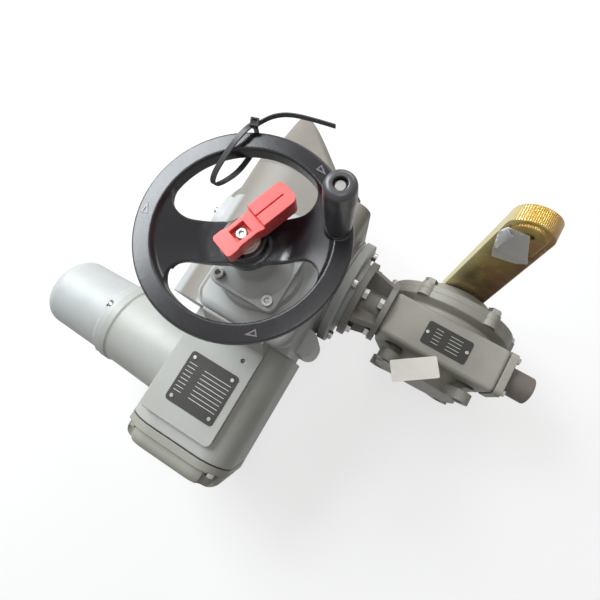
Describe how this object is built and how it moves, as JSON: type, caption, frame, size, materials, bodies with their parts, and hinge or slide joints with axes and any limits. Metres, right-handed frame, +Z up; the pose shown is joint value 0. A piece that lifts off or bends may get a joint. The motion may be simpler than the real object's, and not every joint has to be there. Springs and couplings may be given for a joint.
{
  "type": "multi-turn electric actuator",
  "caption": "Electric multi-turn actuator with handwheel, control box and plug cover, bolted through an open yoke to a quarter-turn worm gearbox with a swing lever.",
  "frame": {"origin": "centre of the gearbox foot, in its mounting face and on the line of the lever shaft", "axes": "+X from the actuator to the gearbox along the drive line, +Y from the foot towards the lever, +Z up along the handwheel line, the way the lever points"},
  "size_m": [0.513, 0.3955, 0.4],
  "materials": {
    "bearing_steel": "polished",
    "black_enamel": "gloss",
    "black_plastic": "matte",
    "bronze": "machined",
    "gearbox_paint": "satin",
    "grip_plastic": "satin",
    "housing_paint": "satin",
    "plate_dark": "matte black",
    "red_plastic": "matte",
    "seal_rubber": "matte",
    "shaft_steel": "machined",
    "stop_cast": "matte",
    "tie_plastic": "satin",
    "yellow_zinc": "yellow zinc plated",
    "zinc_steel": "satin"
  },
  "bodies": {
    "housing_group": {"adapter_bolts": "zinc_steel", "adapter_nuts": "zinc_steel", "adapter_yoke": "housing_paint", "blanking_plugs": "black_enamel", "control_housing": "housing_paint", "control_lid": "housing_paint", "end_plate": "gearbox_paint", "end_plate_screws": "zinc_steel", "end_stop": "stop_cast", "flange_screws": "zinc_steel", "gear_housing": "housing_paint", "gearbox_bearing_left": "bearing_steel", "gearbox_bearing_right": "bearing_steel", "gearbox_cover": "gearbox_paint", "gearbox_cover_bolts": "zinc_steel", "gearbox_housing": "gearbox_paint", "gearbox_plate": "plate_dark", "gearbox_plate_rivets": "zinc_steel", "lid_gasket": "seal_rubber", "lid_screws": "zinc_steel", "manual_drive_flange": "housing_paint", "motor_flange": "housing_paint", "motor_housing": "housing_paint", "motor_screws": "zinc_steel", "nameplate": "plate_dark", "nameplate_rivets": "zinc_steel", "output_flange": "housing_paint", "output_flange_screws": "zinc_steel", "pin_carrier": "black_plastic", "plug_cover": "housing_paint", "plug_screws": "zinc_steel", "rear_cap": "housing_paint", "rear_cap_screws": "zinc_steel", "sleeve_bearing_back": "bearing_steel", "sleeve_bearing_front": "bearing_steel", "switch_unit": "black_plastic", "worm_bearing_far": "bearing_steel", "worm_bearing_near": "bearing_steel"},
    "drive_line": {"drive_sleeve": "shaft_steel", "worm_wheel": "bronze", "gearbox_worm": "shaft_steel"},
    "worm_line": {"worm_shaft": "shaft_steel", "worm_bevel": "shaft_steel"},
    "handwheel_group": {"handwheel": "black_enamel", "handwheel_shaft": "shaft_steel", "handwheel_bevel": "shaft_steel", "handle_pin": "zinc_steel", "cable_tie": "tie_plastic", "shaft_ring": "shaft_steel"},
    "crank_grip": {"handle_grip": "grip_plastic"},
    "changeover_group": {"changeover_lever": "red_plastic", "lever_screw": "zinc_steel", "lever_spindle": "shaft_steel"},
    "lever_group": {"swing_lever": "yellow_zinc", "lever_bolt": "zinc_steel", "lever_shaft": "shaft_steel", "gearbox_wheel": "bronze"}
  },
  "joints": [
    {"name": "output_drive_spin", "type": "hinge", "parent": "housing_group", "child": "drive_line", "pos_m": [-0.19, 0.046, 0.055], "axis": [1, 0, 0], "range_deg": [0, 3600]},
    {"name": "lever_swing", "type": "hinge", "parent": "housing_group", "child": "lever_group", "pos_m": [0, 0.046, 0], "axis": [0, 1, 0], "range_deg": [0, 90]},
    {"name": "worm_spin", "type": "hinge", "parent": "housing_group", "child": "worm_line", "pos_m": [-0.19, 0, 0.105], "axis": [0, 1, 0], "range_deg": [0, 144000]},
    {"name": "handwheel_spin", "type": "hinge", "parent": "housing_group", "child": "handwheel_group", "pos_m": [-0.19, 0, 0.26], "axis": [0, 0, 1], "continuous": true},
    {"name": "crank_grip_spin", "type": "hinge", "parent": "handwheel_group", "child": "crank_grip", "pos_m": [-0.1307, 0.0372, 0.29], "axis": [0, 0, 1], "continuous": true},
    {"name": "changeover_swing", "type": "hinge", "parent": "housing_group", "child": "changeover_group", "pos_m": [-0.19, 0, 0.25], "axis": [0, 0, 1], "range_deg": [0, 85]}
  ],
  "couplings": [
    {"joint": "lever_swing", "follows": "output_drive_spin", "ratio": 0.025},
    {"joint": "worm_spin", "follows": "output_drive_spin", "ratio": 40}
  ]
}
